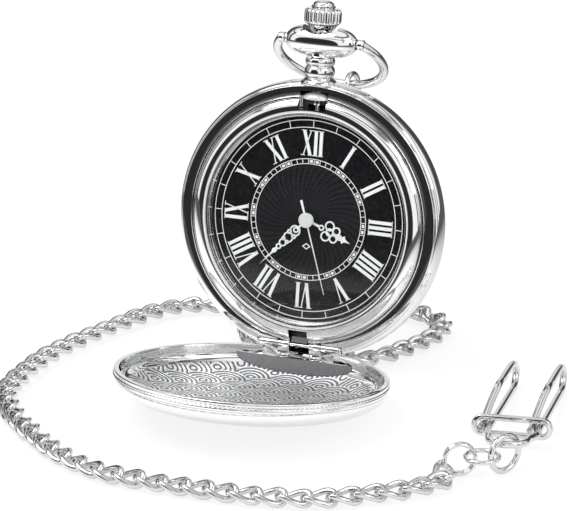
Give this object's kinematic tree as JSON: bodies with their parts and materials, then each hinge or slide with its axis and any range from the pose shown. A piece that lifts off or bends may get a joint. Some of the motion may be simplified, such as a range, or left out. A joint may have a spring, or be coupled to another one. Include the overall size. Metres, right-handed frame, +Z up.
{
  "type": "pocket watch",
  "caption": "Hunter-cased quartz pocket watch standing on its open hinged cover, with a press crown, swinging bow, curb chain and two-prong wire clip.",
  "frame": {"origin": "centre, in plan, of the watch without its chain, on the surface that the open cover stands on", "axes": "+X towards three o'clock and across the hinge, +Y behind the dial, +Z up; the dial faces -Y and leans back 9.5 degrees"},
  "size_m": [0.0917, 0.0884, 0.061],
  "materials": {
    "polished_case": "mirror polished",
    "rehaut": "polished",
    "brass": "machined",
    "crystal": "polished",
    "gasket": "matt",
    "steel": "brushed",
    "cell": "satin",
    "dial": "gloss lacquer",
    "white_lacquer": "gloss",
    "holder": "moulded",
    "copper_wire": "enamelled wire",
    "board": "solder mask"
  },
  "bodies": {
    "case": {"mid_case": "polished_case", "bezel": "polished_case", "crystal": "crystal", "crystal_gasket": "gasket", "rehaut": "rehaut", "back_cover": "polished_case", "back_gasket": "gasket", "pendant_neck": "polished_case", "bow_collar": "polished_case", "catch_spring": "steel", "hinge_tubes": "polished_case", "hinge_pin": "polished_case", "lift_spring": "steel", "dial": "dial", "dial_print": "white_lacquer", "movement_ring": "holder", "main_plate": "brass", "train_bridge": "steel", "stator": "steel", "coil": "copper_wire", "circuit_board": "board", "quartz_can": "steel", "battery": "cell", "battery_strap": "steel", "sliding_pinion": "brass", "setting_lever": "steel", "movement_screws": "steel", "chain": "polished_case", "end_link": "polished_case", "link_ring": "polished_case", "jump_ring": "polished_case", "clip_wire": "polished_case"},
    "cover": {"cover_rim": "polished_case", "cover_shell": "polished_case", "cover_hinge_plate": "polished_case"},
    "bow": {"bow": "polished_case", "bow_link": "polished_case"},
    "push_sleeve": {"push_sleeve": "brass"},
    "catch": {"cover_catch": "polished_case"},
    "stem": {"winding_stem": "steel"},
    "crown": {"crown": "polished_case", "crown_cap": "polished_case"},
    "seconds": {"fourth_wheel": "brass", "second_hand": "white_lacquer", "hand_cap": "white_lacquer"},
    "minutes": {"centre_wheel": "brass", "minute_hand": "white_lacquer"},
    "hours": {"hour_wheel": "brass", "hour_hand": "white_lacquer"},
    "third_wheel": {"third_wheel": "brass"},
    "fifth_wheel": {"fifth_wheel": "brass"},
    "rotor": {"rotor": "steel"},
    "minute_wheel": {"minute_wheel": "brass"},
    "setting_wheel": {"setting_wheel": "brass"},
    "clip_slider": {"clip_slider": "polished_case"}
  },
  "joints": [
    {"name": "cover_hinge", "type": "hinge", "parent": "case", "child": "cover", "pos_m": [0, 0.01098, 0.00469], "axis": [1, 0, 0], "range_deg": [-90.8, 0]},
    {"name": "bow_swing", "type": "hinge", "parent": "case", "child": "bow", "pos_m": [0, 0.02053, 0.0542], "axis": [1, 0, 0], "range_deg": [0, 200]},
    {"name": "crown_press", "type": "slide", "parent": "case", "child": "push_sleeve", "axis": [0, -0.165, -0.9863], "range_m": [0, 0.00065], "stiffness_N_per_m": 400},
    {"name": "catch_slide", "type": "slide", "parent": "case", "child": "catch", "axis": [0, -0.165, -0.9863], "range_m": [0, 0.00065]},
    {"name": "stem_pull", "type": "slide", "parent": "push_sleeve", "child": "stem", "axis": [0, 0.165, 0.9863], "range_m": [0, 0.001]},
    {"name": "crown_turn", "type": "hinge", "parent": "stem", "child": "crown", "pos_m": [0, 0.02113, 0.05779], "axis": [0, 0.165, 0.9863], "continuous": true},
    {"name": "second_spin", "type": "hinge", "parent": "case", "child": "seconds", "pos_m": [0, 0.0145, 0.02544], "axis": [0, 0.9863, -0.165], "continuous": true},
    {"name": "minute_spin", "type": "hinge", "parent": "case", "child": "minutes", "pos_m": [0, 0.0145, 0.02544], "axis": [0, 0.9863, -0.165], "continuous": true},
    {"name": "hour_spin", "type": "hinge", "parent": "case", "child": "hours", "pos_m": [0, 0.0145, 0.02544], "axis": [0, 0.9863, -0.165], "continuous": true},
    {"name": "third_spin", "type": "hinge", "parent": "case", "child": "third_wheel", "pos_m": [-0.00312, 0.0148, 0.02722], "axis": [0, 0.9863, -0.165], "continuous": true},
    {"name": "fifth_spin", "type": "hinge", "parent": "case", "child": "fifth_wheel", "pos_m": [0.0032, 0.01481, 0.02726], "axis": [0, 0.9863, -0.165], "continuous": true},
    {"name": "rotor_spin", "type": "hinge", "parent": "case", "child": "rotor", "pos_m": [0.00452, 0.01443, 0.02501], "axis": [0, 0.9863, -0.165], "continuous": true},
    {"name": "minute_wheel_spin", "type": "hinge", "parent": "case", "child": "minute_wheel", "pos_m": [0, 0.0149, 0.02781], "axis": [0, 0.9863, -0.165], "continuous": true},
    {"name": "setting_wheel_spin", "type": "hinge", "parent": "case", "child": "setting_wheel", "pos_m": [0, 0.01536, 0.03057], "axis": [0, 0.9863, -0.165], "continuous": true},
    {"name": "slider_slide", "type": "slide", "parent": "case", "child": "clip_slider", "axis": [0.1691, -0.9789, 0.1149], "range_m": [0, 0.0028]}
  ],
  "couplings": [
    {"joint": "catch_slide", "follows": "crown_press", "ratio": 1},
    {"joint": "minute_spin", "follows": "second_spin", "ratio": 0.016667},
    {"joint": "hour_spin", "follows": "second_spin", "ratio": 0.0013889},
    {"joint": "third_spin", "follows": "second_spin", "ratio": -0.13333},
    {"joint": "fifth_spin", "follows": "second_spin", "ratio": -3},
    {"joint": "rotor_spin", "follows": "second_spin", "ratio": 30},
    {"joint": "minute_wheel_spin", "follows": "second_spin", "ratio": -0.0055556},
    {"joint": "setting_wheel_spin", "follows": "second_spin", "ratio": 0.01}
  ]
}
